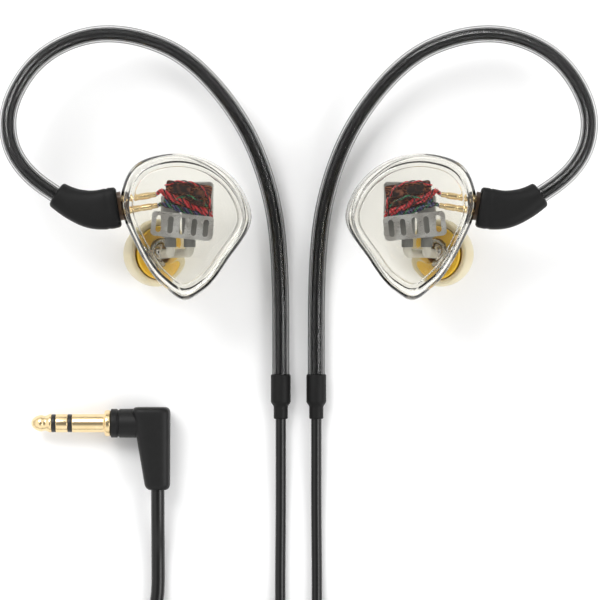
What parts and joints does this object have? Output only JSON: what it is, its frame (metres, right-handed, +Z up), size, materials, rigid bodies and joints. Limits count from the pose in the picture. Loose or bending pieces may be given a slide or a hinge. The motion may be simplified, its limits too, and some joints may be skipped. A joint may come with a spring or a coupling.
{
  "type": "in ear monitors",
  "caption": "Clear resin in ear monitors with formed ear hooks, pull-off silicone tips and a detachable black cable ending in a gold right-angle stereo plug.",
  "frame": {"origin": "the middle of the two earpieces and hooks, on the surface that they lie on", "axes": "+X towards the right earpiece, +Y towards the top of the ear hooks, +Z up from the surface"},
  "size_m": [0.1126, 0.1985, 0.0248],
  "materials": {
    "clear_resin": "polished clear acrylic resin",
    "badge_steel": "brushed, with slots",
    "driver_can": "satin nickel-plated can",
    "damper_grey": "matt",
    "sound_tube": "milky translucent tube",
    "screen_steel": "fine punched screen",
    "board_brown": "dark board",
    "board_parts": "dark red-brown components",
    "gold_contact": "gold plated, polished",
    "wire_red": "enamelled litz wire",
    "tip_cream": "translucent cream silicone",
    "tip_amber": "amber silicone",
    "housing_black": "matt black",
    "carrier_amber": "dark amber moulding",
    "hook_clear": "clear soft tube",
    "cable_black": "satin black jacket",
    "plug_black": "matt black moulding",
    "insulator_black": "black"
  },
  "bodies": {
    "cable_set": {"left_connector_housing": "housing_black", "left_pin_carrier": "carrier_amber", "left_connector_pins": "gold_contact", "left_ear_hook_tube": "hook_clear", "left_hook_cable": "cable_black", "left_hook_sleeve": "housing_black", "left_branch_cord": "cable_black", "left_branch_coil": "cable_black", "left_branch_tail": "cable_black", "right_connector_housing": "housing_black", "right_pin_carrier": "carrier_amber", "right_connector_pins": "gold_contact", "right_ear_hook_tube": "hook_clear", "right_hook_cable": "cable_black", "right_hook_sleeve": "housing_black", "right_branch_cord": "cable_black", "right_branch_coil": "cable_black", "right_branch_tail": "cable_black", "y_splitter": "plug_black", "trunk_cord": "cable_black", "trunk_coil": "cable_black", "trunk_lead": "cable_black", "coil_ties": "housing_black", "plug_housing": "plug_black", "plug_sleeve": "gold_contact", "plug_ring": "gold_contact", "plug_tip": "gold_contact", "plug_insulators": "insulator_black"},
    "left_earpiece": {"left_body_shell": "clear_resin", "left_faceplate": "clear_resin", "left_badge_plate": "badge_steel", "left_low_driver": "driver_can", "left_high_driver": "driver_can", "left_dampers": "damper_grey", "left_low_sound_tube": "sound_tube", "left_high_sound_tube": "sound_tube", "left_nozzle_screen": "screen_steel", "left_crossover_board": "board_brown", "left_crossover_parts": "board_parts", "left_pin_sockets": "gold_contact", "left_signal_wires": "wire_red"},
    "left_tip": {"left_tip_flange": "tip_cream", "left_tip_core": "tip_amber"},
    "right_earpiece": {"right_body_shell": "clear_resin", "right_faceplate": "clear_resin", "right_badge_plate": "badge_steel", "right_low_driver": "driver_can", "right_high_driver": "driver_can", "right_dampers": "damper_grey", "right_low_sound_tube": "sound_tube", "right_high_sound_tube": "sound_tube", "right_nozzle_screen": "screen_steel", "right_crossover_board": "board_brown", "right_crossover_parts": "board_parts", "right_pin_sockets": "gold_contact", "right_signal_wires": "wire_red"},
    "right_tip": {"right_tip_flange": "tip_cream", "right_tip_core": "tip_amber"}
  },
  "joints": [
    {"name": "left_earpiece_pull", "type": "slide", "parent": "cable_set", "child": "left_earpiece", "axis": [0.9863, 0.165, 0], "range_m": [0, 0.006]},
    {"name": "left_tip_pull", "type": "slide", "parent": "left_earpiece", "child": "left_tip", "axis": [-0.4602, 0, -0.8878], "range_m": [0, 0.0055]},
    {"name": "right_earpiece_pull", "type": "slide", "parent": "cable_set", "child": "right_earpiece", "axis": [-0.9863, 0.165, 0], "range_m": [0, 0.006]},
    {"name": "right_tip_pull", "type": "slide", "parent": "right_earpiece", "child": "right_tip", "axis": [0.4602, 0, -0.8878], "range_m": [0, 0.0055]}
  ]
}
